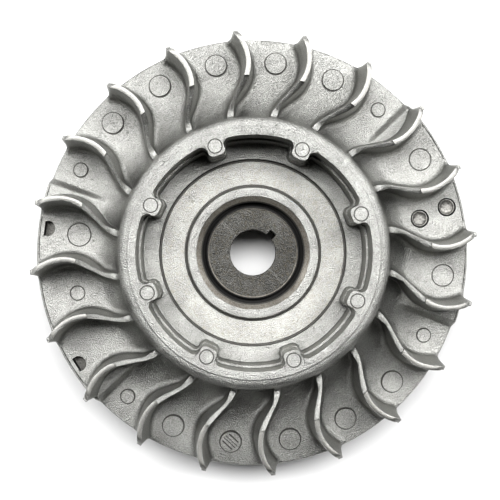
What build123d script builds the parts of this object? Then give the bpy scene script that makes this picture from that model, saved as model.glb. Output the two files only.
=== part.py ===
from build123d import *
import os
from math import cos, radians, sin

# Fan flywheel of a small two-stroke engine, lying fan side up.
# Units are millimetres. The shaft axis is +Z, the origin is on that axis at the
# back (engine side) face of the steel hub, and angles run from +X towards +Y.

# ---- Rim, web and ring of the die casting ----------------------------------
RIM_R = 65.0
RIM_BACK_Z = 2.0
DISC_Z = 16.0
RIM_EDGE = 0.6
WEB_BACK_Z = 10.5
CAVITY_R = (20.5, 49.0)
CAVITY_DRAFT = 1.3
BOSS_BACK_Z = 1.0

SWEEP_START_R = 58.0
RING_R = 40.15
SWEEP_TOP_Z = 26.0
RING_SHOULDER = (39.7, 30.5)
RING_EDGE_Z = 29.8
RING_TOP_OUTER_R = 36.9
RING_TOP_Z = 31.5

# ---- Bowl inside the ring, with the eight drive lugs -----------------------
LUG_COUNT = 8
LUG_ANGLE = 20.2
LUG_WIDTH = 5.2
LUG_TIP_R = 30.3
LUG_FLARE = 0.3
LUG_FILLET = 1.5
BOWL_R = 34.5
LEDGE_Z = 24.0
LEDGE_WIDTH = 0.9
FLOOR_Z = 16.8
PLATFORM = (28.6, 16.0)
HUB_BOSS = (20.0, 17.8)
RECESS_BEVEL = (17.3, 15.35)
RECESS_BEVEL_Z = 16.0
RECESS_Z = 13.0

# ---- Steel hub --------------------------------------------------------------
HUB_R = 14.45
HUB_TOP_Z = 14.5
HUB_GROOVE_R = 12.9
HUB_GROOVE_Z = (4.5, 8.5)
HUB_CHAMFER = 0.5
BORE_R = 7.0
BORE_LAND = 3.0
TAPER_RATIO = 8.0
KEY_ANGLE = 44.5
KEY_WIDTH = 2.3
KEY_DEPTH = 2.0

# ---- Fan blades -------------------------------------------------------------
BLADE_COUNT = 20
BLADE_ANGLE = 4.35
BLADE_TOP_Z = 33.0
BLADE_TIP_R = 64.2
BLADE_TIP_ROUND = 2.5
MACHINED_FROM_R = 51.7
MACHINED_STEP = 0.9
RIDGE_LOW = (42.6, 26.3)
BLADE_BASE_Z = 14.0
BLADE_HALF_THICK = 0.72
BLADE_DRAFT = 1.25
# Centreline of one blade as (radius, angle ahead of the blade's own angle).
BLADE_LINE = [
    (38.5, 6.0),
    (42.4, 4.9),
    (44.6, 3.7),
    (47.0, 1.5),
    (49.6, -0.6),
    (52.2, -2.0),
    (55.0, -2.55),
    (58.0, -2.3),
    (61.0, -1.35),
    (65.2, 0.9),
]

# ---- Raised pads over the magnets and over the counterweight ---------------
PAD_Z = 18.4
PAD_INNER_R = 44.0
PAD_RAMP = 1.5
MAGNET_PAD = (161.5, 222.5)
WEIGHT_PAD = (-18.5, 42.5)
POCKET_BULGE_R = 45.0

# ---- Magnet group -----------------------------------------------------------
MAGNET_ANGLE = 192.8
STACK_Z = (4.0, 15.0)
PLATE_COUNT = 11
POLE_FACE_R = 65.5
MAGNET_X = (50.5, 58.0)
MAGNET_HALF = 9.0
POLE_GAP_HALF = 4.0
POLE_END = 22.5
POLE_BRIDGE_R = 59.5
POLE_LEG_ANGLE = 9.4
POLE_INNER_R = 51.0
POLE_RIVET_D = 3.0
POLE_RIVETS = [(13.5, 56.0), (19.0, 56.0)]
WINDOW_OFFSET = 19.6
WINDOW_R = 62.1
WINDOW_SIZE = (3.2, 4.6)
WINDOW_DEPTH = 3.5

# ---- Counterweight group ----------------------------------------------------
WEIGHT_ANGLE = 12.0
WEIGHT_HALF_ANGLE = 10.0
WEIGHT_R = (47.5, 63.4)
RIVETS = [(13.3, 60.5), (11.6, 51.7)]
RIVET_D = 4.0
RIVET_HOLE_D = 5.6
RIVET_CUP_D = 2.4
RIVET_CUP_DEPTH = 1.4
RIVET_TOP_Z = 18.2

# ---- Ejector pin marks ------------------------------------------------------
MARK_ANGLE = 11.2
MARK_R = 58.1
MARK_D = 6.8
SMALL_MARK_D = 4.8
# Air channels, counted from the one at MARK_ANGLE, that have a regular large mark.
MARKED_CHANNELS = (1, 3, 4, 5, 6, 7, 13, 14, 15, 16, 17, 19)
# The marks that are smaller or stand elsewhere, as (angle, radius, diameter).
ODD_MARKS = [
    (48.8, MARK_R, SMALL_MARK_D),
    (154.3, MARK_R, SMALL_MARK_D),
    (174.0, 52.8, MARK_D),
    (192.9, 54.4, SMALL_MARK_D),
    (228.9, MARK_R, SMALL_MARK_D),
    (334.2, MARK_R, SMALL_MARK_D),
]
LUG_MARK_D = 4.7
LUG_MARK_R = 33.2
MARK_GROOVE = 0.3


def polar(radius, angle, z=0.0):
    """Point at a radius and an angle about the shaft axis."""
    return (radius * cos(radians(angle)), radius * sin(radians(angle)), z)


def turned(points):
    """Solid turned about the shaft axis from corner points (radius, z)."""
    outline = Polyline(*[(r, 0, z) for r, z in points], close=True)
    return revolve(make_face(outline), Axis.Z)


def sector_face(r_in, r_out, start, end, z):
    """Flat face between two radii and two angles."""
    middle = (start + end) / 2
    inner = [polar(r_in, angle) for angle in (start, middle, end)]
    outer = [polar(r_out, angle) for angle in (end, middle, start)]
    outline = [
        ThreePointArc(*inner),
        Line(inner[2], outer[0]),
        ThreePointArc(*outer),
        Line(outer[2], inner[0]),
    ]
    return Pos(0, 0, z) * make_face(outline)


def sector(r_in, r_out, start, end, z_low, z_high):
    """Piece of a flat ring between two angles."""
    face = sector_face(r_in, r_out, start, end, z_low)
    return extrude(face, z_high - z_low, dir=(0, 0, 1))


def post(radius, angle, diameter, z_low, z_high):
    """Upright cylinder standing at a radius and an angle."""
    height = z_high - z_low
    return Pos(*polar(radius, angle, z_low + height / 2)) * Cylinder(diameter / 2, height)


def ring_mark(radius, angle, diameter, z_low):
    """Thin tube that cuts the round outline left by an ejector pin."""
    outer = post(radius, angle, diameter, z_low, RING_TOP_Z + 1)
    inner = post(radius, angle, diameter - 2 * MARK_GROOVE, z_low - 1, RING_TOP_Z + 2)
    return outer - inner


# ---- Steel hub --------------------------------------------------------------
hub_plug = turned([
    (0, 0),
    (HUB_R - HUB_CHAMFER, 0),
    (HUB_R, HUB_CHAMFER),
    (HUB_R, HUB_GROOVE_Z[0]),
    (HUB_GROOVE_R, HUB_GROOVE_Z[0] + 0.8),
    (HUB_GROOVE_R, HUB_GROOVE_Z[1] - 0.8),
    (HUB_R, HUB_GROOVE_Z[1]),
    (HUB_R, HUB_TOP_Z - HUB_CHAMFER),
    (HUB_R - HUB_CHAMFER, HUB_TOP_Z),
    (0, HUB_TOP_Z),
])
taper_length = HUB_TOP_Z - BORE_LAND
bore_big_r = BORE_R + taper_length / TAPER_RATIO / 2
bore = turned([
    (0, -1),
    (bore_big_r + 0.5 / TAPER_RATIO, -1),
    (BORE_R, taper_length),
    (BORE_R, HUB_TOP_Z + 1),
    (0, HUB_TOP_Z + 1),
])
keyway_reach = BORE_R + KEY_DEPTH
keyway = Rot(0, 0, KEY_ANGLE) * Pos(keyway_reach / 2, 0, HUB_TOP_Z / 2) * Box(
    keyway_reach, KEY_WIDTH, HUB_TOP_Z + 2
)
steel_hub = hub_plug - bore - keyway

# ---- Casting: turned body ---------------------------------------------------
sweep = EllipticalCenterArc(
    (SWEEP_START_R, SWEEP_TOP_Z),
    SWEEP_START_R - RING_R,
    SWEEP_TOP_Z - DISC_Z,
    start_angle=180,
    arc_size=90,
)
sides = Polyline(
    (SWEEP_START_R, DISC_Z),
    (RIM_R - RIM_EDGE, DISC_Z),
    (RIM_R, DISC_Z - RIM_EDGE),
    (RIM_R, RIM_BACK_Z + RIM_EDGE),
    (RIM_R - RIM_EDGE, RIM_BACK_Z),
    (CAVITY_R[1] + CAVITY_DRAFT, RIM_BACK_Z),
    (CAVITY_R[1], WEB_BACK_Z),
    (CAVITY_R[0], WEB_BACK_Z),
    (CAVITY_R[0] - CAVITY_DRAFT, BOSS_BACK_Z),
    (0, BOSS_BACK_Z),
    (0, RING_TOP_Z),
    (RING_TOP_OUTER_R, RING_TOP_Z),
    RING_SHOULDER,
    (RING_R, RING_EDGE_Z),
    (RING_R, SWEEP_TOP_Z),
)
section = make_face([sweep, *sides.edges()])
body = revolve(Plane.XZ * section, Axis.Z)

# Raised pads on the fan side and thicker metal behind them for the inserts.
for start, end in (MAGNET_PAD, WEIGHT_PAD):
    foot = (start - PAD_RAMP, end + PAD_RAMP)
    body += loft([
        sector_face(PAD_INNER_R, RIM_R, *foot, DISC_Z - RIM_EDGE),
        sector_face(PAD_INNER_R, RIM_R, start, end, PAD_Z),
    ])
    body += sector(POCKET_BULGE_R, RIM_R - 2, start + 4, end - 4, RIM_BACK_Z, WEB_BACK_Z + 1)

# ---- Casting: fan blades ----------------------------------------------------
centre_line = Spline(*[polar(r, a) for r, a in BLADE_LINE])


def blade_outline(z, half_thick):
    """Plan outline of a blade at one height, offset both ways from its centreline."""
    left, right = [], []
    for i in range(17):
        point = centre_line @ (i / 16)
        along = centre_line % (i / 16)
        side = Vector(-along.Y, along.X, 0) * half_thick
        left.append(point + side)
        right.append(point - side)
    edges = [
        Spline(*left),
        Line(left[-1], right[-1]),
        Spline(*reversed(right)),
        Line(right[0], left[0]),
    ]
    return Pos(0, 0, z) * make_face(edges)


draft_per_mm = BLADE_DRAFT / (BLADE_TOP_Z - DISC_Z)
base_half = BLADE_HALF_THICK + draft_per_mm * (BLADE_TOP_Z - BLADE_BASE_Z)
blade_blank = loft([
    blade_outline(BLADE_BASE_Z, base_half),
    blade_outline(BLADE_TOP_Z, BLADE_HALF_THICK),
])

# The height of a blade changes along its radius: a low ridge beside the ring,
# then the machined outer top with a rounded tip.
tip_edge = BLADE_TIP_R - BLADE_TIP_ROUND
tip_mid = BLADE_TIP_ROUND * sin(radians(45))
height_edges = [
    *Polyline(
        (tip_edge, BLADE_TOP_Z),
        (MACHINED_FROM_R, BLADE_TOP_Z),
        (MACHINED_FROM_R, BLADE_TOP_Z - MACHINED_STEP),
        RIDGE_LOW,
        (RING_R - 1.5, RIDGE_LOW[1]),
        (RING_R - 1.5, BLADE_BASE_Z - 1),
        (BLADE_TIP_R, BLADE_BASE_Z - 1),
        (BLADE_TIP_R, BLADE_TOP_Z - BLADE_TIP_ROUND),
    ).edges(),
    ThreePointArc(
        (BLADE_TIP_R, BLADE_TOP_Z - BLADE_TIP_ROUND),
        (tip_edge + tip_mid, BLADE_TOP_Z - BLADE_TIP_ROUND + tip_mid),
        (tip_edge, BLADE_TOP_Z),
    ),
]
height_limit = revolve(Plane.XZ * make_face(height_edges), Axis.Z)
blade = blade_blank & height_limit
blades = [Rot(0, 0, BLADE_ANGLE + k * 360 / BLADE_COUNT) * blade for k in range(BLADE_COUNT)]
body = body.fuse(*blades)

# ---- Casting: bowl, lugs, floor and hub recess ------------------------------
def bowl_opening(ledge, flare):
    """Plan outline of the bowl, with a ledge round its wall and flared lugs."""
    tip = LUG_TIP_R - flare
    length = BOWL_R + 2 - tip
    outline = Circle(BOWL_R - ledge)
    for k in range(LUG_COUNT):
        lug = Pos(tip + length / 2, 0) * Rectangle(length, LUG_WIDTH + 2 * flare)
        outline -= Rot(0, 0, LUG_ANGLE + k * 360 / LUG_COUNT) * lug
    return fillet(outline.vertices(), LUG_FILLET)


upper_opening = bowl_opening(0, 0)
lower_opening = bowl_opening(LEDGE_WIDTH, LUG_FLARE)
body -= Pos(0, 0, LEDGE_Z) * extrude(upper_opening, RING_TOP_Z - LEDGE_Z + 1)
body -= Pos(0, 0, FLOOR_Z) * extrude(lower_opening, LEDGE_Z - FLOOR_Z + 1)
body -= turned([
    (0, PLATFORM[1]),
    PLATFORM,
    (PLATFORM[0], HUB_BOSS[1] + 1),
    (0, HUB_BOSS[1] + 1),
])
body += turned([
    (HUB_R - 1, RECESS_Z - 1),
    (HUB_BOSS[0] + 0.8, RECESS_Z - 1),
    (HUB_BOSS[0] + 0.8, PLATFORM[1]),
    HUB_BOSS,
    (HUB_R - 1, HUB_BOSS[1]),
])
body -= turned([
    (0, HUB_BOSS[1] + 1),
    (0, RECESS_Z),
    (RECESS_BEVEL[1], RECESS_Z),
    (RECESS_BEVEL[1], RECESS_BEVEL_Z),
    (RECESS_BEVEL[0], HUB_BOSS[1]),
    (RECESS_BEVEL[0], HUB_BOSS[1] + 1),
])
body -= hub_plug

# ---- Magnet group -----------------------------------------------------------
stack_height = STACK_Z[1] - STACK_Z[0]
plate_height = stack_height / PLATE_COUNT
magnet = Rot(0, 0, MAGNET_ANGLE) * Pos(sum(MAGNET_X) / 2, 0, sum(STACK_Z) / 2) * Box(
    MAGNET_X[1] - MAGNET_X[0], 2 * MAGNET_HALF, stack_height
)


def pole_shoe(side, z_low, z_high):
    """Pole shoe outline on one side of the magnet, between two heights."""
    angles = sorted((side * POLE_LEG_ANGLE, side * POLE_END))
    bridge_angles = sorted((side * POLE_GAP_HALF, side * POLE_END))
    leg = sector(POLE_INNER_R, POLE_BRIDGE_R + 1, *angles, z_low, z_high)
    bridge = sector(POLE_BRIDGE_R, POLE_FACE_R, *bridge_angles, z_low, z_high)
    return Rot(0, 0, MAGNET_ANGLE) * (leg + bridge) - magnet


def pole_rivets(side):
    """Rivets that hold the plates of one pole shoe together."""
    return [
        post(radius, MAGNET_ANGLE + side * angle, POLE_RIVET_D, *STACK_Z)
        for angle, radius in POLE_RIVETS
    ]


def plates(block_at):
    """Stack of thin plates, one above the other."""
    levels = [STACK_Z[0] + i * plate_height for i in range(PLATE_COUNT)]
    return [block_at(z, z + plate_height) for z in levels]


leading_rivets = pole_rivets(1)
trailing_rivets = pole_rivets(-1)
leading_plates = [
    plate - leading_rivets[0] - leading_rivets[1]
    for plate in plates(lambda low, high: pole_shoe(1, low, high))
]
trailing_plates = [
    plate - trailing_rivets[0] - trailing_rivets[1]
    for plate in plates(lambda low, high: pole_shoe(-1, low, high))
]

# ---- Counterweight group ----------------------------------------------------
weight_rivets = []
for angle, radius in RIVETS:
    shank = post(radius, angle, RIVET_D, STACK_Z[0], RIVET_TOP_Z)
    cup = post(radius, angle, RIVET_CUP_D, RIVET_TOP_Z - RIVET_CUP_DEPTH, RIVET_TOP_Z + 1)
    weight_rivets.append(shank - cup)


def weight_block(z_low, z_high):
    """Counterweight outline between two heights."""
    start = WEIGHT_ANGLE - WEIGHT_HALF_ANGLE
    end = WEIGHT_ANGLE + WEIGHT_HALF_ANGLE
    return sector(*WEIGHT_R, start, end, z_low, z_high)


rivet_shanks = [post(r, a, RIVET_D, STACK_Z[0] - 1, STACK_Z[1] + 1) for a, r in RIVETS]
weight_plates = [
    plate - rivet_shanks[0] - rivet_shanks[1] for plate in plates(weight_block)
]

# ---- Casting: seats for the inserts, windows, rivet holes, pin marks --------
body -= magnet
for side in (1, -1):
    body -= pole_shoe(side, *STACK_Z)
body -= weight_block(*STACK_Z)
for angle, radius in RIVETS:
    body -= post(radius, angle, RIVET_HOLE_D, STACK_Z[1] - 0.5, PAD_Z + 1)
for offset_angle in (-WINDOW_OFFSET, WINDOW_OFFSET):
    window = Pos(WINDOW_R, 0, PAD_Z) * Box(*WINDOW_SIZE, 2 * WINDOW_DEPTH)
    rounded = fillet(window.edges().filter_by(Axis.Z).group_by(Axis.X)[0], 1.5)
    body -= Rot(0, 0, MAGNET_ANGLE + offset_angle) * rounded
regular_marks = [
    (MARK_ANGLE + k * 360 / BLADE_COUNT, MARK_R, MARK_D) for k in MARKED_CHANNELS
]
for angle, radius, diameter in regular_marks + ODD_MARKS:
    on_pad = any((angle - pad[0]) % 360 < pad[1] - pad[0] for pad in (MAGNET_PAD, WEIGHT_PAD))
    surface = PAD_Z if on_pad else DISC_Z
    body -= ring_mark(radius, angle, diameter, surface - MARK_GROOVE)
for k in range(LUG_COUNT):
    angle = LUG_ANGLE + k * 360 / LUG_COUNT
    body -= ring_mark(LUG_MARK_R, angle, LUG_MARK_D, RING_TOP_Z - MARK_GROOVE)

# ---- Write one file per piece ----------------------------------------------
PIECES = {
    "fan_casting": [body],
    "steel_hub": [steel_hub],
    "magnet": [magnet],
    "leading_pole_shoe": leading_plates,
    "trailing_pole_shoe": trailing_plates,
    "pole_shoe_rivets": leading_rivets + trailing_rivets,
    "counterweight_plates": weight_plates,
    "counterweight_rivets": weight_rivets,
}

os.makedirs("parts", exist_ok=True)
for name, shapes in PIECES.items():
    solids = [solid for shape in shapes for solid in shape.solids()]
    piece = Compound(children=solids)
    piece.label = name
    export_step(piece, f"parts/{name}.step")
    print(name, len(solids), piece.bounding_box().size)
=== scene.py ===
"""Looks of a cast fan flywheel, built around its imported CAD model."""

from math import asin, atan2, cos, pi, radians, sin, sqrt, tan

import bmesh
import bpy
import numpy as np
from mathutils import Matrix, Vector


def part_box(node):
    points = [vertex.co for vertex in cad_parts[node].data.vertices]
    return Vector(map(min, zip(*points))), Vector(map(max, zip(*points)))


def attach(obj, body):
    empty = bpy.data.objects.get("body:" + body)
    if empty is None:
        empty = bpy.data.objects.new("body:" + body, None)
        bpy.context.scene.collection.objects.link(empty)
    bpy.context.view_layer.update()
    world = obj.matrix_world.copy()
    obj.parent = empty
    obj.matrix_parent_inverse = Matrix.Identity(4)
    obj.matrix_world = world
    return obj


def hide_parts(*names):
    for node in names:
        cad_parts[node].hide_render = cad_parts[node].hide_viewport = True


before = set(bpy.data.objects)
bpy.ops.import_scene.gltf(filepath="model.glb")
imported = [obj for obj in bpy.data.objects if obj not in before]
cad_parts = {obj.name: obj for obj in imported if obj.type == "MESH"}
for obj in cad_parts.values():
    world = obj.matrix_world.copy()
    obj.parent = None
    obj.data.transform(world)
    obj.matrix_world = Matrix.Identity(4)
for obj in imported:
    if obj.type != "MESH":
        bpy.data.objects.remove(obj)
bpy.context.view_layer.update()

# ---- Sizes, in millimetres -----------------------------------------------------------
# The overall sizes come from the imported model. The rest are details of the pieces.
MM = 0.001
cast_low, cast_high = [np.array(corner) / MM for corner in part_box("fan_casting")]
hub_low, hub_high = [np.array(corner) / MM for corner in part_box("steel_hub")]
rivet_low, rivet_high = [np.array(corner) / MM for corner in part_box("counterweight_rivets")]

RIM_R = cast_high[0]
BLADE_TOP = cast_high[2]
CAST_BACK = cast_low[2]
HUB_R = hub_high[0]
HUB_TOP = hub_high[2]

DISC_Z = 16.0
RIM_BACK = 2.0
RIM_ROUND = 0.6
RIM_DISH = 0.003
RIM_DISH_R = 54.0
WEB_BACK = 10.5
CAVITY_R = (20.5, 49.0)
BULGE_R = 45.0
SWEEP_R = 58.0
RING_R = 40.15
SWEEP_TOP = 26.0
SWEEP_REACH = SWEEP_R - RING_R - 0.15
WALL_DRAFT = 0.12
SHOULDER_R = 37.45
SHOULDER_Z = 31.32
SHOULDER_ROUND = 2.7
RING_TOP_R = 36.9
RING_TOP = 31.5

PAD_Z = 18.4
PAD_RAMP = 2.4
PAD_PROUD = 0.3
# The raised pads over the steel, as the angles where their flat tops start and end.
PADS = ((161.5, 222.5), (-18.5, 42.5))
PAD_STOPS = (0.0, 0.15, 0.3, 0.5, 0.7, 0.85, 1.0)

# The steel in the rim is the magnet between two pole shoes, and the counterweight.
PLATE_BACK = 4.0
PLATE_TOP = 15.0
MAGNET_ANGLE = 192.8
# The magnet's sizes are taken with its middle on the X axis.
MAGNET_X = (50.5, 58.0)
MAGNET_HALF = 9.0
POLE_INNER_R = 51.0
POLE_BRIDGE_R = 59.5
POLE_FACE_R = 65.5
POLE_LEG_ANGLE = 9.4
POLE_TURN = (4.0, 22.5)
WINDOW_R = 62.1
WINDOW_OFFSET = 19.6
WEIGHT_R = (47.5, 63.4)
WEIGHT_TURN = (2.0, 22.0)
RIVETS = ((13.3, 60.5), (11.6, 51.7))
RIVET_HOLE_R = 2.8

BLADES = 20
PITCH = 360 / BLADES
BLADE_ANGLE = 4.35
TIP_R = 64.65
TIP_ROUND = 1.9
TIP_NARROW = 0.7
CUT_R = 51.7
CUT_STEP = 0.9
RIDGE_LOW_R = 42.6
RIDGE_LOW_Z = 26.3
RIDGE_R = 46.0
RIDGE_RUN = 5.7
# Middle of a blade as (radius, angle ahead of the blade's own angle).
BLADE_LINE = np.array([
    (36.0, 6.9),
    (38.5, 6.0),
    (42.4, 4.9),
    (44.6, 3.7),
    (47.0, 1.5),
    (49.6, -0.6),
    (52.2, -2.0),
    (55.0, -2.55),
    (58.0, -2.3),
    (61.0, -1.35),
    (65.2, 0.9),
])
BLADE_TRAIL = 2.2
BLADE_HALF = 0.6
MACHINED_EXTRA = 0.12
ROOT_EXTRA = 0.4
ROOT_R = 45.0
ROOT_RUN = 3.5
ROOT_ROUND = 1.4
MACHINED_EDGE = 0.12
CAST_EDGE = 0.3
# How far a full-height blade widens down to its foot: clockwise flank, then the other.
DRAFT = (1.0, 1.3)
FOOT_ROUND = 2.0
TIGHT_FOOT = 0.6

LUGS = 8
LUG_PITCH = 360 / LUGS
LUG_ANGLE = 20.2
LUG_HALF = 2.6
LUG_TIP_R = 30.3
LUG_MARK = (33.2, 4.6)
BOWL_R = 34.5
FLOOR_Z = 16.8
LUG_ROOT_ROUND = 1.9
LUG_TIP_ROUND = 1.6

MARK_ANGLE = 11.2
MARK_R = 58.1
MARK_D = 7.05
SMALL_MARK_D = 4.8
HATCHED_CHANNEL = 14

BORE_R = 7.0
KEY_ANGLE = 44.5
LIP_R = 13.45
LIP_OUTER_R = 13.75


def smoothstep(x):
    """0 up to 0, 1 from 1 on, and a smooth rise between."""
    x = np.clip(x, 0.0, 1.0)
    return x * x * (3 - 2 * x)


def polar(radius, angle):
    """Point in plan at a radius and an angle in degrees."""
    return radius * cos(radians(angle)), radius * sin(radians(angle))


def arc(radius, start, end):
    """Nine points along an arc about the shaft axis."""
    return [polar(radius, a) for a in np.linspace(start, end, 9)]


def directions(angle):
    """Outward and sideways directions in plan at an angle in degrees."""
    a = radians(angle)
    return np.array([cos(a), sin(a)]), np.array([-sin(a), cos(a)])


def hermite(table, x):
    """Smooth curve through the rows of a two-column table."""
    xs, ys = table[:, 0], table[:, 1]
    slopes = np.gradient(ys, xs)
    i = int(np.clip(np.searchsorted(xs, x) - 1, 0, len(xs) - 2))
    width = xs[i + 1] - xs[i]
    t = (x - xs[i]) / width
    return (
        ys[i] * (1 + 2 * t) * (1 - t) ** 2
        + ys[i + 1] * t * t * (3 - 2 * t)
        + slopes[i] * width * t * (1 - t) ** 2
        + slopes[i + 1] * width * t * t * (t - 1)
    )


def away_from(turn, middle):
    """Angle between two directions, always positive."""
    return np.abs((np.asarray(turn, float) - middle + 180) % 360 - 180)


# ---- A closed skin grown ring by ring ------------------------------------------------
# The casting's materials, by their place in cast_kinds. The fifth is a darker grey for dirt
# and painted shade in creases and grooves; the sixth is near-black painted shade in recesses
# and holes.
CAST, CUT, TURNED, GRAINY, DIRT_AND_SHADE, PAINTED_SHADE = range(6)


class Skin:
    """Mesh made of closed rings of points, each joined to the next."""

    def __init__(self):
        self.points = np.zeros((0, 3))
        self.faces = []
        self.kinds = []

    def ring(self, xyz):
        """Adds points and gives back their numbers."""
        index = np.arange(len(self.points), len(self.points) + len(xyz))
        self.points = np.concatenate([self.points, xyz])
        return index

    def circle(self, radius, z, turns):
        """Ring about the shaft axis; the radius and the height may vary round it."""
        across = [radius * np.cos(turns), radius * np.sin(turns), np.full(len(turns), z)]
        return self.ring(np.stack(across, axis=1))

    def band(self, a, b, kind=CAST):
        """Quads between two rings with the same number of points."""
        quads = np.stack([a, b, np.roll(b, -1), np.roll(a, -1)], axis=1)
        self.faces.extend(quads.tolist())
        self.kinds.extend(np.broadcast_to(kind, len(a)).tolist())

    def chain(self, rings, kind=CAST):
        """Quads between each ring and the next."""
        for a, b in zip(rings, rings[1:]):
            self.band(a, b, kind)

    def turns(self, ring):
        """Direction of each point of a ring, in radians."""
        return np.arctan2(self.points[ring, 1], self.points[ring, 0])

    def stitch(self, a, b, kind=CAST):
        """Triangles between two rings that differ in their number of points."""
        turn_a = np.unwrap(self.turns(a))
        off = (self.turns(b) - turn_a[0] + pi) % (2 * pi) - pi
        first = int(np.argmin(np.abs(off)))
        b = np.roll(b, -first)
        turn_b = np.unwrap(self.turns(b))
        turn_b += 2 * pi * round((turn_a[0] - turn_b[0]) / (2 * pi))
        a, b = np.append(a, a[0]).tolist(), np.append(b, b[0]).tolist()
        turn_a = np.append(turn_a, turn_a[0] + 2 * pi)
        turn_b = np.append(turn_b, turn_b[0] + 2 * pi)
        i = j = 0
        while i < len(a) - 1 or j < len(b) - 1:
            b_done = j == len(b) - 1
            if b_done or (i < len(a) - 1 and turn_a[i + 1] <= turn_b[j + 1]):
                self.faces.append([a[i], b[j], a[i + 1]])
                i += 1
            else:
                self.faces.append([a[i], b[j], b[j + 1]])
                j += 1
            self.kinds.append(kind)

    def data(self, name):
        """The skin as one mesh, with a material for each face."""
        data = bpy.data.meshes.new(name)
        data.from_pydata((self.points * MM).tolist(), [], self.faces)
        data.polygons.foreach_set("material_index", np.array(self.kinds, dtype=np.int32))
        data.update()
        return data


# ---- The casting's fan side ----------------------------------------------------------
def floor_height(radius):
    """Height of the channel floor: falling a little to the rim, sweeping up to the ring."""
    dish = RIM_DISH * max(0.0, radius - RIM_DISH_R) ** 2
    if radius >= SWEEP_R:
        return DISC_Z - dish
    across = min(1.0, (SWEEP_R - radius) / SWEEP_REACH)
    return SWEEP_TOP - (SWEEP_TOP - DISC_Z) * sqrt(1 - across * across) - dish


def pad_share(turn):
    """1 on a raised pad, 0 off it, and between on its sloping end."""
    share = np.zeros_like(np.asarray(turn, float))
    for start, end in PADS:
        beyond = away_from(turn, (start + end) / 2) - (end - start) / 2
        share = np.maximum(share, smoothstep(1 - beyond / PAD_RAMP))
    return share


def blade_height(radius):
    """Height of a blade's top edge."""
    if radius < RING_R or radius > TIP_R:
        return 0.0
    if radius > TIP_R - TIP_ROUND:
        inward = radius - (TIP_R - TIP_ROUND)
        return BLADE_TOP - TIP_ROUND + sqrt(TIP_ROUND ** 2 - inward ** 2)
    if radius > CUT_R:
        return BLADE_TOP
    rise = (BLADE_TOP - CUT_STEP - RIDGE_LOW_Z) / (CUT_R - RIDGE_LOW_R)
    ridge = RIDGE_LOW_Z + rise * max(0.0, radius - RIDGE_LOW_R)
    near = min(ROOT_ROUND, max(0.0, ROOT_ROUND - (radius - RING_R - WALL_DRAFT)))
    return ridge + ROOT_ROUND - sqrt(ROOT_ROUND ** 2 - near ** 2)


def blade_lean(radius):
    """Cosine of the angle between the blade and the radial direction."""
    ahead = hermite(BLADE_LINE, radius + 0.05) - hermite(BLADE_LINE, radius - 0.05)
    return 1 / sqrt(1 + (radius * radians(ahead) / 0.1) ** 2)


def ridge_share(radius):
    """0 on the low ridge of a blade, rising to 1 where its machined top starts."""
    return float(smoothstep((radius - RIDGE_R) / RIDGE_RUN))


def half_thickness(radius):
    """Half the thickness of a blade along its top edge."""
    root = ROOT_EXTRA * float(smoothstep((ROOT_R - radius) / ROOT_RUN))
    return BLADE_HALF + root + MACHINED_EXTRA * ridge_share(radius)


WALL_SHARES = (0.2, 0.55, 0.9)
FOOT_STEPS = 5
CHANNEL_COLUMNS = 13


def blade_side(radius, base, draft, foot):
    """One flank of a blade as (distance from its middle, height), from the top down."""
    top = blade_height(radius)
    half = half_thickness(radius)
    flat = top - base < 0.05
    if flat:
        top = BLADE_TOP - TIP_ROUND if radius > CUT_R else base + 6
    full_top = BLADE_TOP
    if radius <= CUT_R:
        full_top = top + (BLADE_TOP - top) * ridge_share(radius)
    tall = top - base
    foot = min(foot, 0.5 * tall)
    edge = min(MACHINED_EDGE if radius > CUT_R else CAST_EDGE, 0.3 * tall)
    slope = draft / (BLADE_TOP - DISC_Z)
    start = half + slope * (full_top - top)
    wall_top, wall_low = top - edge, base + foot
    side = [(start - edge, top), (start - 0.3 * edge, top - 0.3 * edge), (start, wall_top)]
    for share in WALL_SHARES:
        z = wall_top + (wall_low - wall_top) * share
        side.append((start + slope * (wall_top - z), z))
    low = start + slope * (wall_top - wall_low)
    narrow = 1.0
    if TIP_R - TIP_NARROW < radius <= TIP_R:
        narrow = max(0.35, sqrt(1 - ((radius - TIP_R + TIP_NARROW) / TIP_NARROW) ** 2))
    side = [(d * narrow, z) for d, z in side]
    for i in range(FOOT_STEPS + 1):
        a = pi / 2 * i / FOOT_STEPS
        side.append((low * narrow + foot * (1 - cos(a)), wall_low - foot * sin(a)))
    return [(d, base) for d, _ in side] if flat else side


def foot_round(k, side):
    """Root radius of one flank; tight where a pad ends beside the blade."""
    turn = BLADE_ANGLE + PITCH * k - BLADE_TRAIL
    for start, end in PADS:
        beside_start = side < 0 and away_from(turn, start) < 4
        beside_end = side > 0 and away_from(turn, end) < 6
        if beside_start or beside_end:
            return TIGHT_FOOT
    return FOOT_ROUND


def channel_turns(left, right):
    """Angles of the floor columns between two blades, lined up with a pad's end."""
    for start, end in PADS:
        for edge, sign in ((start, -1), (end, 1)):
            top = edge + 360 * round(((left + right) / 2 - edge) / 360)
            foot = top + sign * PAD_RAMP
            near, far = (left, right) if sign > 0 else (right, left)
            if sign * (foot - near) < 0.5 or sign * (far - foot) < 0.5:
                continue
            stops = [(near + top) / 2]
            stops += [top + sign * PAD_RAMP * part for part in PAD_STOPS]
            kept = [near]
            for stop in stops:
                kept.append(kept[-1] + sign * max(0.1, sign * (stop - kept[-1])))
            rest = CHANNEL_COLUMNS + 1 - len(kept)
            tail = [kept[-1] + (far - kept[-1]) * (i + 1) / (rest + 1) for i in range(rest)]
            turns = np.array(kept[1:] + tail)
            return turns if sign > 0 else turns[::-1]
    return left + (right - left) * np.arange(1, CHANNEL_COLUMNS + 1) / (CHANNEL_COLUMNS + 1)


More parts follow.
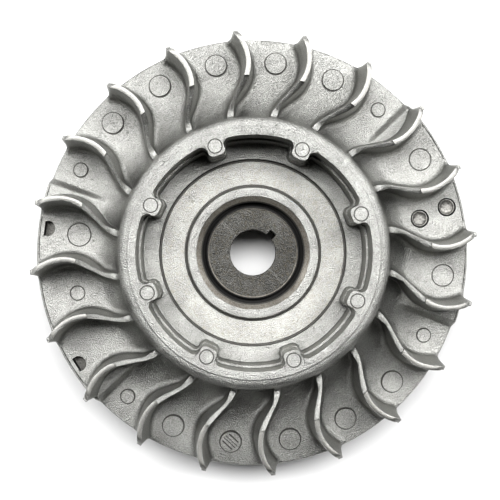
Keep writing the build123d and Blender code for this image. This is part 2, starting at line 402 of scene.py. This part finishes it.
def fan_row(skin, radius, z=None):
    """One ring of the fan side; z is given on the ring's shoulder and wall."""
    lean = blade_lean(radius)
    plain = floor_height(radius) if z is None else z
    lift = 0.0 if z is not None else max(0.0, PAD_Z - plain)
    blades = []
    for k in range(BLADES):
        middle = BLADE_ANGLE + PITCH * k + hermite(BLADE_LINE, radius)
        flanks = []
        for side, draft in ((-1, DRAFT[0]), (1, DRAFT[1])):
            foot = foot_round(k, side)
            reach = half_thickness(radius) + draft
            beside = middle + side * np.degrees(reach / radius / lean)
            base = plain + float(pad_share(beside)) * lift
            flanks.append(blade_side(radius, base, draft, foot))
        low, high = flanks
        crest = [(0.0, max(low[0][1], high[0][1]))]
        local = [(-d, h) for d, h in reversed(low)] + crest + high
        turn = [middle + np.degrees(d / radius / lean) for d, _ in local]
        blades.append((turn, [h for _, h in local]))
    turns, heights = [], []
    for k in range(BLADES):
        turn, height = blades[k]
        following = blades[(k + 1) % BLADES][0][0] + (360 if k == BLADES - 1 else 0)
        floor = channel_turns(turn[-1], following)
        turns += turn + floor.tolist()
        heights += height + (plain + pad_share(floor) * lift).tolist()
    return skin.circle(radius, heights, np.radians(turns))


def fan_radii():
    """Radii of the rings from the foot of the ring's wall to the rim."""
    bend = (4, 8, 12, 16, 20, 24, 28, 32, 36, 41, 46, 51, 56, 61, 66)
    sweep = [SWEEP_R - SWEEP_REACH * cos(radians(a)) for a in bend]
    cut = [CUT_R - 0.03, CUT_R + 0.03]
    outer = [52.6, 53.6, 54.8, 56.0, 57.2, 58.4, 59.6, 60.8, 61.7]
    tip = [TIP_R - TIP_ROUND * (1 - sin(radians(a))) for a in (0, 20, 38, 54, 68, 80, 89)]
    return sorted(sweep + cut + outer + tip)


def edge_ring(skin, like, radius, height):
    """Ring under an earlier one, standing out a little where there is a pad."""
    turn = skin.turns(like)
    return skin.circle(radius + PAD_PROUD * pad_share(np.degrees(turn)), height, turn)


def grow_fan(skin):
    """Ring shoulder, channels, blades and rim; gives back the first and the last ring."""
    wall = [
        (RING_TOP_R - 0.5, RING_TOP),
        (RING_TOP_R - 0.04, RING_TOP),
        (RING_TOP_R + 0.04, RING_TOP - 0.06),
        (RING_TOP_R + 0.16, RING_TOP - 0.08),
        (SHOULDER_R - 0.3, SHOULDER_Z + 0.05),
    ]
    for a in (0, 15, 30, 45, 60, 75, 88):
        out = SHOULDER_ROUND * sin(radians(a))
        drop = SHOULDER_ROUND * (1 - cos(radians(a)))
        wall.append((SHOULDER_R + out, SHOULDER_Z - drop))
    wall += [
        (RING_R + 0.03, 27.6),
        (RING_R + 0.07, 27.0),
        (RING_R + WALL_DRAFT, 26.3),
    ]
    radii = [radius for radius, _ in wall] + fan_radii()
    radii += [TIP_R + 0.03, RIM_R - RIM_ROUND + 0.05]
    rows = [fan_row(skin, radius, z) for radius, z in wall]
    rows += [fan_row(skin, radius) for radius in radii[len(wall):]]
    # A blade's flat top is two columns of faces, just past the points of one flank.
    middle = 3 + len(WALL_SHARES) + FOOT_STEPS
    columns = np.arange(len(rows[0])) % (len(rows[0]) // BLADES)
    on_top = (columns == middle) | (columns == middle + 1)
    for i, (inner, outer) in enumerate(zip(rows, rows[1:])):
        machined = CUT_R < radii[i] and radii[i + 1] < TIP_R - TIP_ROUND + 0.9
        skin.band(inner, outer, np.where(on_top & machined, CUT, CAST))
    top = skin.points[rows[-1], 2]
    rim = [rows[-1]]
    for a in (30, 60, 90):
        radius = RIM_R - RIM_ROUND * (1 - sin(radians(a)))
        drop = RIM_ROUND * (1 - cos(radians(a)))
        rim.append(edge_ring(skin, rows[-1], radius, top - drop))
    skin.chain(rim)
    return rows[0], rim[-1]


# ---- The casting's back --------------------------------------------------------------
def cavity_reach(turn, radius):
    """Outer radius of the hollow at the back, which keeps clear of the inserts."""
    share = np.zeros_like(turn)
    for start, end in PADS:
        beyond = away_from(np.degrees(turn), (start + end) / 2) - (end - start) / 2 + 4
        share = np.maximum(share, smoothstep(0.5 - beyond / 2))
    return radius + (BULGE_R + 0.4 - CAVITY_R[1]) * share


def grow_back(skin, start):
    """Rim wall and the hollow underside, from the rim in to the hub's seat."""
    turn = skin.turns(start)
    rings = [
        start,
        edge_ring(skin, start, RIM_R, RIM_BACK + 0.6),
        edge_ring(skin, start, RIM_R - 0.18, RIM_BACK + 0.18),
        edge_ring(skin, start, RIM_R - 0.6, RIM_BACK),
    ]
    outer = [
        (CAVITY_R[1] + 1.8, RIM_BACK),
        (CAVITY_R[1] + 1.35, RIM_BACK + 0.25),
        (CAVITY_R[1] + 1.2, RIM_BACK + 0.8),
        (CAVITY_R[1] + 0.1, WEB_BACK - 1.4),
        (CAVITY_R[1] - 0.3, WEB_BACK - 0.4),
        (CAVITY_R[1] - 1.3, WEB_BACK),
    ]
    rings += [skin.circle(cavity_reach(turn, radius), z, turn) for radius, z in outer]
    inner = [
        (CAVITY_R[0] + 1.3, WEB_BACK),
        (CAVITY_R[0] + 0.3, WEB_BACK - 0.4),
        (CAVITY_R[0] - 0.1, WEB_BACK - 1.4),
        (CAVITY_R[0] - 1.2, CAST_BACK + 0.8),
        (CAVITY_R[0] - 1.35, CAST_BACK + 0.25),
        (CAVITY_R[0] - 1.8, CAST_BACK),
        (HUB_R + 1.5, CAST_BACK),
    ]
    rings += [skin.circle(radius, z, turn) for radius, z in inner]
    skin.chain(rings)
    return rings[-1]


# ---- The bowl inside the ring --------------------------------------------------------
def bowl_outline(ledge, flare):
    """Outline of the bowl round its lugs, narrowed by a ledge and by wider lugs."""
    wall = BOWL_R - ledge
    tip_r = LUG_TIP_R - flare
    half_width = LUG_HALF + flare
    root = LUG_ROOT_ROUND - (ledge + flare) / 2
    tip = LUG_TIP_ROUND + flare / 2
    root_y = -half_width - root
    root_x = sqrt((wall - root) ** 2 - root_y ** 2)
    meet = atan2(root_y, root_x)
    half = []
    for a in np.linspace(-radians(LUG_PITCH / 2), meet, 10)[:-1]:
        half.append((wall * cos(a), wall * sin(a)))
    for a in np.linspace(meet, pi / 2, 9)[:-1]:
        half.append((root_x + root * cos(a), root_y + root * sin(a)))
    tip_x = tip_r + tip
    for x in np.linspace(root_x, tip_x, 4)[:-1]:
        half.append((x, -half_width))
    for a in np.linspace(-pi / 2, -pi, 8)[:-1]:
        half.append((tip_x + tip * cos(a), -half_width + tip + tip * sin(a)))
    for y in np.linspace(-half_width + tip, 0, 3)[:-1]:
        half.append((tip_r, y))
    lug = half + [(tip_r, 0)] + [(x, -y) for x, y in reversed(half[1:])]
    points = np.array(lug)
    turned_to = [np.array(directions(LUG_ANGLE + LUG_PITCH * k)) for k in range(LUGS)]
    return np.concatenate([points @ turn for turn in turned_to])


def spread_turns():
    """Evenly ordered directions for the outline's points, for the circles beside it."""
    outline = bowl_outline(0.0, 0.0)
    count = len(outline) // LUGS
    local = outline[:count]
    step = np.linalg.norm(np.diff(local, axis=0), axis=1)
    length = np.concatenate([[0.0], np.cumsum(step)])
    share = length / (length[-1] + step[0])
    start = radians(LUG_ANGLE - LUG_PITCH / 2)
    return np.concatenate([start + radians(LUG_PITCH) * (k + share) for k in range(LUGS)])


def floor_turns(ledge, flare, radius):
    """Directions of a circle's points inside the outline, kept off the lugs' sides."""
    outline = bowl_outline(ledge, flare)
    count = len(outline) // LUGS
    local = outline[:count] @ np.array(directions(-LUG_ANGLE))
    turn = np.arctan2(local[:, 1], local[:, 0])
    level = np.arcsin(np.clip(local[:, 1] / radius, -0.9, 0.9))
    edge = radians(LUG_PITCH / 2)
    lug = asin((LUG_HALF + flare) / radius)
    share = np.clip((edge - np.abs(turn)) / (edge - lug), 0, 1)
    turn = turn + (level - turn) * share
    tip = int(np.argmin(np.abs(turn)))
    least = radians(0.04)
    for j in range(tip - 1, -1, -1):
        turn[j] = min(turn[j], turn[j + 1] - least)
    for j in range(tip + 1, count):
        turn[j] = max(turn[j], turn[j - 1] + least)
    return np.concatenate([turn + radians(LUG_ANGLE + LUG_PITCH * k) for k in range(LUGS)])


def grow_bowl(skin, back, ring_top):
    """Hub seat, recess, boss, floor, bowl wall and ring top."""
    turns = floor_turns(1.45, 0.7, 28.66)

    def circles(rows):
        return [skin.circle(radius, z, turns) for radius, z in rows]

    seat = circles([
        (HUB_R + 0.4, CAST_BACK),
        (HUB_R + 0.1, CAST_BACK + 0.3),
        (HUB_R + 0.05, 13.0),
        (15.2, 13.0),
        (15.34, 13.06),
        (15.38, 13.3),
        (15.38, 15.75),
        (15.44, 15.95),
    ])
    skin.stitch(back, seat[0])
    # Painted shade: the hub's recess is near-black.
    skin.chain(seat, PAINTED_SHADE)
    # The bevel's foot is in the darker grey: dirt and painted shade where it drops to the
    # recess.
    bevel_foot = circles([(15.5, 16.05), (15.8, 16.5)])
    skin.chain([seat[-1]] + bevel_foot, DIRT_AND_SHADE)
    bevel = circles([(16.5, 17.12), (17.18, 17.72)])
    skin.chain([bevel_foot[-1]] + bevel, TURNED)
    boss = circles([
        (17.3, 17.82),
        (17.45, 17.85),
        (19.45, 17.85),
        (19.75, 17.8),
        (19.95, 17.6),
        (20.2, 16.7),
    ])
    skin.chain([bevel[-1]] + boss)
    # The crease at the boss's foot is in the darker grey: painted shade.
    boss_foot = circles([(20.28, 16.1), (20.4, 15.82), (20.65, 15.82), (20.85, 15.98)])
    skin.chain([boss[-1]] + boss_foot, DIRT_AND_SHADE)
    platform = circles([(21.1, 16.0), (24.5, 16.0), (27.4, 16.0), (27.75, 15.98)])
    skin.chain([boss_foot[-1]] + platform, GRAINY)
    # The step round the floor is in the darker grey: painted shade in the groove.
    step = circles([
        (27.9, 15.75),
        (28.1, 15.7),
        (28.3, 15.75),
        (28.45, 16.1),
        (28.52, 16.7),
    ])
    skin.chain([platform[-1]] + step, DIRT_AND_SHADE)
    step.append(skin.circle(28.66, FLOOR_Z, turns))
    skin.chain(step[-2:])
    wall = [
        (1.45, 0.7, FLOOR_Z),
        (1.25, 0.55, FLOOR_Z + 0.1),
        (1.1, 0.44, FLOOR_Z + 0.6),
        (0.95, 0.34, 23.75),
        (0.9, 0.3, 23.95),
        (0.8, 0.26, 24.0),
        (0.42, 0.14, 24.03),
        (0.28, 0.12, 24.12),
        (0.2, 0.11, 24.5),
        (0.04, 0.03, 31.1),
        (0.0, 0.0, 31.36),
        (-0.08, -0.08, 31.47),
        (-0.22, -0.22, RING_TOP),
    ]
    rings = [step[-1]]
    for ledge, flare, z in wall:
        outline = bowl_outline(ledge, flare)
        rings.append(skin.ring(np.column_stack([outline, np.full(len(outline), z)])))
    rings.append(skin.circle(RING_TOP_R - 0.9, RING_TOP, spread_turns()))
    skin.chain(rings)
    skin.stitch(rings[-1], ring_top)


# ---- Closed shapes, and what they cut out of the casting -----------------------------
class Shapes:
    """Closed shapes that make a piece, or are taken out of one together."""

    def __init__(self):
        self.points = []
        self.faces = []

    def hoop(self, centre, profile, count=48):
        """Closed profile of (radius, height) turned about an upright line."""
        first, rows = len(self.points), len(profile)
        for i in range(count):
            a = 2 * pi * i / count
            for radius, z in profile:
                x, y = centre[0] + radius * cos(a), centre[1] + radius * sin(a)
                self.points.append((x, y, z))
        for i in range(count):
            for j in range(rows):
                here, there = i * rows, (i + 1) % count * rows
                after = (j + 1) % rows
                corners = (here + j, there + j, there + after, here + after)
                self.faces.append([first + c for c in corners])

    def prism(self, outline, low, high):
        """Upright block with the given plan outline."""
        first, count = len(self.points), len(outline)
        for z in (low, high):
            self.points += [(x, y, z) for x, y in outline]
        self.faces.append([first + i for i in reversed(range(count))])
        self.faces.append([first + count + i for i in range(count)])
        for i in range(count):
            after = (i + 1) % count
            self.faces.append([first + c for c in (i, after, count + after, count + i)])

    def data(self, name):
        """The shapes as one mesh, with every face turned outward."""
        data = bpy.data.meshes.new(name)
        data.from_pydata([tuple(c * MM for c in p) for p in self.points], [], self.faces)
        grown = bmesh.new()
        grown.from_mesh(data)
        bmesh.ops.recalc_face_normals(grown, faces=grown.faces)
        grown.to_mesh(data)
        grown.free()
        return data

    def taken_from(self, data, materials, kind):
        """The mesh with these shapes cut out of it, and its new faces in one material."""
        shape = self.data("cutter")
        for mesh in (shape, data):
            if not mesh.materials:
                for material in materials:
                    mesh.materials.append(material)
        kinds = np.full(len(self.faces), kind, dtype=np.int32)
        shape.polygons.foreach_set("material_index", kinds)
        tool = bpy.data.objects.new("cutter", shape)
        work = bpy.data.objects.new("work", data)
        for helper in (tool, work):
            bpy.context.scene.collection.objects.link(helper)
        cut = work.modifiers.new("cut", "BOOLEAN")
        cut.object = tool
        cut.operation = "DIFFERENCE"
        cut.solver = "EXACT"
        view = bpy.context.evaluated_depsgraph_get()
        done = bpy.data.meshes.new_from_object(work.evaluated_get(view))
        for helper in (tool, work):
            bpy.data.objects.remove(helper)
        return done


def mark_profile(diameter, surface):
    """Shallow groove left round an ejector pin."""
    r = diameter / 2
    return [
        (r - 0.7, surface + 0.4),
        (r - 0.3, surface - 0.16),
        (r - 0.12, surface - 0.16),
        (r + 0.14, surface + 0.4),
    ]


def pin_marks():
    """Grooves round the ejector pins, on the channel floors, the pads and the lugs."""
    grooves = Shapes()
    # Channels with a full-size mark in its place. Six more have a small one or one
    # elsewhere, and two have none.
    plain = (1, 3, 4, 5, 6, 7, 13, 14, 15, 16, 17, 19)
    marks = [(MARK_ANGLE + PITCH * k, MARK_R, MARK_D) for k in plain]
    marks += [(angle, MARK_R, SMALL_MARK_D) for angle in (48.8, 154.3, 228.9, 334.2)]
    marks += [(174.0, 52.8, MARK_D + 0.4), (192.9, 54.4, SMALL_MARK_D)]
    for angle, radius, diameter in marks:
        surface = PAD_Z if pad_share(angle) > 0.5 else DISC_Z - 0.07
        grooves.hoop(polar(radius, angle), mark_profile(diameter, surface))
    lug_mark_r, lug_mark_d = LUG_MARK
    for k in range(LUGS):
        middle = polar(lug_mark_r, LUG_ANGLE + LUG_PITCH * k)
        grooves.hoop(middle, mark_profile(lug_mark_d, RING_TOP))
    add_file_marks(grooves)
    return grooves


def add_file_marks(grooves):
    """Slanting file marks inside one ejector pin's outline."""
    middle = np.array(polar(MARK_R, MARK_ANGLE + PITCH * HATCHED_CHANNEL))
    along, across = directions(-43)
    reach = MARK_D / 2 - 1.1
    for shift, width in ((-1.45, 0.2), (-0.45, 0.12), (0.4, 0.1), (1.45, 0.2)):
        half = sqrt(reach ** 2 - shift ** 2)
        corners = [(-half, -width), (half, -width), (half, width), (-half, width)]
        outline = [middle + along * u + across * (shift + v) for u, v in corners]
        grooves.prism([tuple(p) for p in outline], DISC_Z - 0.3, DISC_Z + 0.5)


def insert_seats():
    """Seats in the metal for the magnet and its shoes, and for the counterweight."""
    leg = tan(radians(POLE_LEG_ANGLE))
    near, far = POLE_TURN
    half = [(MAGNET_X[0], MAGNET_X[0] * leg)] + arc(POLE_INNER_R, POLE_LEG_ANGLE, far)
    half += arc(POLE_FACE_R, far, near) + arc(POLE_BRIDGE_R, near, POLE_LEG_ANGLE)
    half += [(MAGNET_HALF / leg, MAGNET_HALF), (MAGNET_X[1], MAGNET_HALF)]
    outline = half + [(x, -y) for x, y in reversed(half)]
    out, side = directions(MAGNET_ANGLE)
    start, end = WEIGHT_TURN
    seats = Shapes()
    seats.prism([tuple(out * x + side * y) for x, y in outline], PLATE_BACK, PLATE_TOP)
    weight = arc(WEIGHT_R[0], start, end) + arc(WEIGHT_R[1], end, start)
    seats.prism(weight, PLATE_BACK, PLATE_TOP)
    return seats


def plate_windows():
    """D-shaped windows over the pole shoes, and the holes round the two rivets."""
    windows = Shapes()
    low, high = PLATE_TOP - 0.1, PAD_Z + 1
    for offset in (-WINDOW_OFFSET, WINDOW_OFFSET):
        out, side = directions(MAGNET_ANGLE + offset)
        corners = [(1.3, -2.2), (1.3, 2.2)]
        for t in np.linspace(pi / 2, 3 * pi / 2, 13):
            corners.append((0.1 + 2.0 * cos(t), 2.3 * sin(t)))
        outline = [tuple(out * (WINDOW_R + u) + side * v) for u, v in corners]
        windows.prism(outline, low, high)
    for angle, radius in RIVETS:
        cx, cy = polar(radius, angle)
        around = np.linspace(0, 2 * pi, 49)[:-1]
        hole = [(cx + RIVET_HOLE_R * cos(t), cy + RIVET_HOLE_R * sin(t)) for t in around]
        windows.prism(hole, low, high)
    return windows


def finish_mesh(data, name, node):
    """Smooth the mesh but for its sharp edges, and let it stand for its node."""
    data.polygons.foreach_set("use_smooth", np.ones(len(data.polygons), dtype=bool))
    data.set_sharp_from_angle(angle=radians(34))
    piece = bpy.data.objects.new(name, data)
    bpy.context.scene.collection.objects.link(piece)
    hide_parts(node)
    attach(piece, "root")


# ---- Turned pieces -------------------------------------------------------------------
def turned(name, profile, centres, count):
    """Mesh of a closed profile turned about upright lines through the given centres."""
    shape = Shapes()
    for centre in centres:
        shape.hoop(centre, profile, count)
    return shape.data(name)


def hub_data(material, painted_edge_shade, lip_material):
    """Hub with its tapered bore, its keyway, and a bright lip inside an edge painted
    near-black as shade.
    """
    profile = [
        (BORE_R, HUB_TOP - 3.0),
        (BORE_R, HUB_TOP - 0.22),
        (7.06, HUB_TOP - 0.08),
        (7.2, HUB_TOP),
        (7.35, HUB_TOP),
        (13.2, HUB_TOP),
        (13.4, HUB_TOP),
        (13.72, HUB_TOP + 0.3),
        (13.85, HUB_TOP + 0.32),
        (14.1, HUB_TOP + 0.2),
        (14.35, HUB_TOP - 0.3),
        (HUB_R, HUB_TOP - 0.7),
        (HUB_R, 0.5),
        (HUB_R - 0.5, 0.0),
        (7.9, 0.0),
        (7.7, 0.2),
    ]
    keyway = Shapes()
    out, side = directions(KEY_ANGLE)
    half = [(4.0, 1.15), (8.75, 1.15), (9.0, 0.9)]
    corners = [(u, -v) for u, v in half] + half[::-1]
    keyway.prism([tuple(out * u + side * v) for u, v in corners], -2.0, HUB_TOP + 2)
    blank = turned("hub", profile, [(0, 0)], 192)
    for face in blank.polygons:
        across, height = face.center.xy.length / MM, face.center.z / MM
        # Painted shade: the hub's outer rounded edge is near-black; the raised lip takes the
        # bevel's grey.
        if across > LIP_OUTER_R and height > HUB_TOP - 1.0:
            face.material_index = 1
        elif across > LIP_R and height > HUB_TOP:
            face.material_index = 2
    return keyway.taken_from(blank, [material, painted_edge_shade, lip_material], 0)


def rivets_data():
    """The two rivets of the counterweight, with shallow dished heads."""
    low, top = rivet_low[2], rivet_high[2]
    profile = [
        (0.02, top - 0.5),
        (0.9, top - 0.55),
        (1.6, top - 0.45),
        (1.9, top - 0.28),
        (2.05, top - 0.05),
        (2.2, top),
        (2.38, top - 0.06),
        (2.5, top - 0.4),
        (2.5, PLATE_TOP + 0.3),
        (2.0, PLATE_TOP + 0.25),
        (2.0, low),
        (0.02, low),
    ]
    return turned("rivets", profile, [polar(radius, angle) for angle, radius in RIVETS], 48)


# ---- Materials -----------------------------------------------------------------------
class Finish:
    """Node material with short ways to add and link nodes."""

    def __init__(self, name):
        self.material = bpy.data.materials.new(name)
        self.material.use_nodes = True
        self.tree = self.material.node_tree
        self.tree.nodes.clear()
        self.place = self.add("ShaderNodeTexCoord").outputs["Object"]

    def add(self, kind, inputs=None, **settings):
        """Node with its inputs set to values or linked to other nodes' outputs."""
        node = self.tree.nodes.new(kind)
        for key, value in settings.items():
            setattr(node, key, value)
        for key, value in (inputs or {}).items():
            if isinstance(value, bpy.types.NodeSocket):
                self.tree.links.new(value, node.inputs[key])
            else:
                node.inputs[key].default_value = value
        return node

    def noise(self, size, detail=3.0, rough=0.55):
        """Noise whose grains are about the given size in millimetres."""
        made = self.add("ShaderNodeTexNoise", {
            "Vector": self.place,
            "Scale": 1 / (size * MM),
            "Detail": detail,
            "Roughness": rough,
        })
        return made.outputs["Fac"]

    def fit(self, value, low, high, to_low, to_high):
        """Value moved from one range to another, and held within it."""
        made = self.add("ShaderNodeMapRange", {
            "Value": value,
            "From Min": low,
            "From Max": high,
            "To Min": to_low,
            "To Max": to_high,
        })
        return made.outputs["Result"]

    def blend(self, share, a, b):
        """Colour that goes from one to another with the share."""
        made = self.add("ShaderNodeMix", data_type="RGBA", blend_type="MIX")
        for index, value in ((0, share), (6, a), (7, b)):
            if isinstance(value, bpy.types.NodeSocket):
                self.tree.links.new(value, made.inputs[index])
            else:
                made.inputs[index].default_value = value
        return made.outputs[2]

    def maths(self, operation, a, b):
        return self.add("ShaderNodeMath", {0: a, 1: b}, operation=operation).outputs[0]

    def bump(self, height, depth):
        """Surface normal roughened by a height, with its depth in millimetres."""
        inputs = {"Height": height, "Distance": depth * MM, "Strength": 1.0}
        return self.add("ShaderNodeBump", inputs).outputs["Normal"]

    def done(self, colour, rough, normal, metallic):
        """The material, once its surface is linked up."""
        shader = self.add("ShaderNodeBsdfPrincipled", {
            "Base Color": colour,
            "Roughness": rough,
            "Metallic": metallic,
            "Normal": normal,
        })
        self.add("ShaderNodeOutputMaterial", {"Surface": shader.outputs["BSDF"]})
        return self.material


def grey(level, warm=0.0):
    """Grey with a faint yellow cast, and more warmth where asked for."""
    return (level * (1 + warm), level, level * (0.955 - warm), 1.0)


def metal(
    name, dark, light, grain, depth, rough, metallic,
    warm=0.01, speckle=None, wear=0.35,
):
    """Metal with grain, cloudy tone, painted shade in its corners and rubbed edges."""
    made = Finish(name)
    cloud = made.noise(9.0, 4.0, 0.6)
    fine = made.noise(grain, 2.0, 0.6)
    pores = made.noise(grain * 3.2, 3.0, 0.65)
    clouded = made.fit(cloud, 0.3, 0.7, -0.25, 0.25)
    tone = made.maths("ADD", clouded, made.fit(fine, 0.3, 0.7, 0.2, 0.8))
    colour = made.blend(tone, grey(dark, warm), grey(light, warm))
    pit = made.fit(pores, 0.26, 0.36, 0.75, 1.0)
    in_pores = made.fit(pores, 0.26, 0.36, 0.3, 0.0)
    colour = made.blend(in_pores, colour, grey(dark * 0.45, warm * 2))
    if speckle is not None:
        share = made.fit(made.noise(grain * 2.2, 4.0, 0.7), 0.48, 0.66, 0.0, 0.5)
        colour = made.blend(share, colour, speckle)
    # Painted shade: the colour darkens where ambient occlusion finds nearby surfaces, in
    # corners and hollows.
    nearby = made.add("ShaderNodeAmbientOcclusion", {"Distance": 6.0 * MM}, samples=6)
    painted_corner_shade = made.fit(nearby.outputs["AO"], 0.1, 0.8, 0.7, 0.0)
    colour = made.blend(painted_corner_shade, colour, grey(dark * 0.3, warm * 2))
    edge = made.add("ShaderNodeNewGeometry").outputs["Pointiness"]
    on_edges = made.fit(edge, 0.53, 0.62, 0.0, wear)
    rubbed = made.maths("MULTIPLY", on_edges, made.fit(fine, 0.3, 0.6, 0.4, 1.0))
    colour = made.blend(rubbed, colour, grey(min(1.0, light * 1.25), warm))
    shallow = made.maths("MULTIPLY", fine, 0.6)
    height = made.maths("ADD", shallow, made.maths("MULTIPLY", pit, 0.8))
    normal = made.bump(height, depth)
    roughness = made.fit(cloud, 0.3, 0.7, rough - 0.05, rough + 0.06)
    return made.done(colour, roughness, normal, metallic)


cast = metal("cast_aluminium", 0.18, 0.47, 0.33, 0.46, 0.36, 0.95, warm=0.0)
machined = metal("machined_aluminium", 0.19, 0.34, 0.3, 0.16, 0.40, 0.9, wear=0.0)
bevel = metal(
    "turned_bevel", 0.22, 0.54, 0.3, 0.14, 0.44, 0.85,
    warm=0.05, speckle=(0.16, 0.12, 0.07, 1.0),
)
platform = metal(
    "cast_floor", 0.19, 0.54, 0.34, 0.40, 0.40, 0.95,
    warm=0.0, speckle=(0.30, 0.28, 0.22, 1.0),
)
# Painted shade: near-black grey for the hub's recess, its edge, and the window and rivet
# holes.
painted_black_shade = metal("cast_painted_black_shade", 0.012, 0.03, 0.3, 0.1, 0.8, 0.2, warm=0.02, wear=0.0)
# Darker grey for creases, grooves and seats: dirt and painted shade.
dirt_and_shade_grey = metal("cast_dirt_and_shade", 0.07, 0.17, 0.3, 0.1, 0.6, 0.7, warm=0.02, wear=0.0)
hub_steel = metal(
    "hub_steel", 0.02, 0.14, 0.36, 0.46, 0.42, 0.9,
    warm=0.01, speckle=(0.07, 0.058, 0.035, 1.0),
)
plate_steel = metal("plate_steel", 0.06, 0.26, 0.5, 0.12, 0.45, 0.9, warm=0.02)
rivet_steel = metal("rivet_steel", 0.05, 0.34, 0.5, 0.3, 0.42, 0.85, warm=0.02)
magnet_alloy = metal("magnet_alloy", 0.12, 0.2, 0.2, 0.03, 0.5, 0.7)

# ---- Pieces --------------------------------------------------------------------------
skin = Skin()
fan_first, fan_last = grow_fan(skin)
back_last = grow_back(skin, fan_last)
grow_bowl(skin, back_last, fan_first)
cast_kinds = [cast, machined, bevel, platform, dirt_and_shade_grey, painted_black_shade]
casting_data = skin.data("casting")
# Shapes that touch one another can't be cut together, so there are three passes.
# Cut faces of seats and pin grooves take the darker grey of dirt and painted shade; the
# windows' cut faces take near-black painted shade.
passes = [(insert_seats(), DIRT_AND_SHADE), (pin_marks(), DIRT_AND_SHADE), (plate_windows(), PAINTED_SHADE)]
for shapes, kind in passes:
    casting_data = shapes.taken_from(casting_data, cast_kinds, kind)
finish_mesh(casting_data, "casting", "fan_casting")
finish_mesh(hub_data(hub_steel, painted_black_shade, bevel), "hub", "steel_hub")
rivet_shapes = rivets_data()
rivet_shapes.materials.append(rivet_steel)
finish_mesh(rivet_shapes, "balance_rivets", "counterweight_rivets")

carried_over = {
    "magnet": magnet_alloy,
    "leading_pole_shoe": plate_steel,
    "trailing_pole_shoe": plate_steel,
    "pole_shoe_rivets": rivet_steel,
    "counterweight_plates": plate_steel,
}
for node, material in carried_over.items():
    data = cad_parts[node].data
    data.materials.clear()
    data.materials.append(material)

# ---- Floor, light and camera ---------------------------------------------------------
floor_data = bpy.data.meshes.new("floor")
floor_data.from_pydata([(-3, -3, 0), (3, -3, 0), (3, 3, 0), (-3, 3, 0)], [], [(0, 1, 2, 3)])
floor = bpy.data.objects.new("floor", floor_data)
bpy.context.scene.collection.objects.link(floor)
paper = Finish("paper")
paper_grain = paper.bump(paper.noise(0.5), 0.001)
floor_data.materials.append(paper.done((0.78, 0.78, 0.78, 1.0), 0.9, paper_grain, 0.0))


def facing(place, aim):
    """Rotation that looks from a place to an aim, with +Y up in the picture."""
    back = (Vector(place) - Vector(aim)).normalized()
    right = Vector((0, 1, 0)).cross(back).normalized()
    return Matrix((right, back.cross(right), back)).transposed().to_quaternion()


def lamp(name, place, aim, size, power):
    """Soft light of a given width and height, facing a point."""
    data = bpy.data.lights.new(name, "AREA")
    data.shape = "RECTANGLE"
    data.energy = power
    data.size, data.size_y = size
    light = bpy.data.objects.new(name, data)
    light.location = place
    light.rotation_mode = "QUATERNION"
    light.rotation_quaternion = facing(place, aim)
    bpy.context.scene.collection.objects.link(light)


lamp("softbox", (0.05, 0.6, 1.48), (0, 0, 0), (3.6, 0.74), 76.0)

# The studio is bright towards the picture's top edge (+Y) and dim towards its bottom.
scene = bpy.context.scene
scene.world = bpy.data.worlds.new("studio")
scene.world.use_nodes = True
studio = scene.world.node_tree
backdrop = studio.nodes["Background"]
sky_place = studio.nodes.new("ShaderNodeTexCoord")
axes = studio.nodes.new("ShaderNodeSeparateXYZ")
studio.links.new(sky_place.outputs["Generated"], axes.inputs["Vector"])
total = None
for axis, *limits in (("Z", 0.0, 1.0, 0.09, 0.05), ("Y", -0.5, 0.5, -0.12, 0.33)):
    ramp = studio.nodes.new("ShaderNodeMapRange")
    ramp.interpolation_type = "SMOOTHSTEP"
    for key, value in zip(("From Min", "From Max", "To Min", "To Max"), limits):
        ramp.inputs[key].default_value = value
    studio.links.new(axes.outputs[axis], ramp.inputs["Value"])
    if total is None:
        total = ramp.outputs["Result"]
    else:
        both = studio.nodes.new("ShaderNodeMath")
        studio.links.new(total, both.inputs[0])
        studio.links.new(ramp.outputs["Result"], both.inputs[1])
        total = both.outputs[0]
studio.links.new(total, backdrop.inputs["Strength"])
backdrop.inputs["Color"].default_value = (1, 1, 1, 1)
scene.view_settings.view_transform = "Standard"
scene.view_settings.look = "Medium High Contrast"

# The camera's place and lens were fitted to the photograph.
eye = bpy.data.cameras.new("camera")
eye.lens, eye.sensor_width = 77.87, 36.0
camera = bpy.data.objects.new("camera", eye)
camera.location = Vector((-8.8, 3.1, 346.0)) * MM
look_at = Vector((-1.29, 0.97, 31.5)) * MM
camera.rotation_mode = "QUATERNION"
camera.rotation_quaternion = facing(camera.location, look_at)
eye.clip_start, eye.clip_end = 0.01, 20
scene.collection.objects.link(camera)
scene.camera = camera
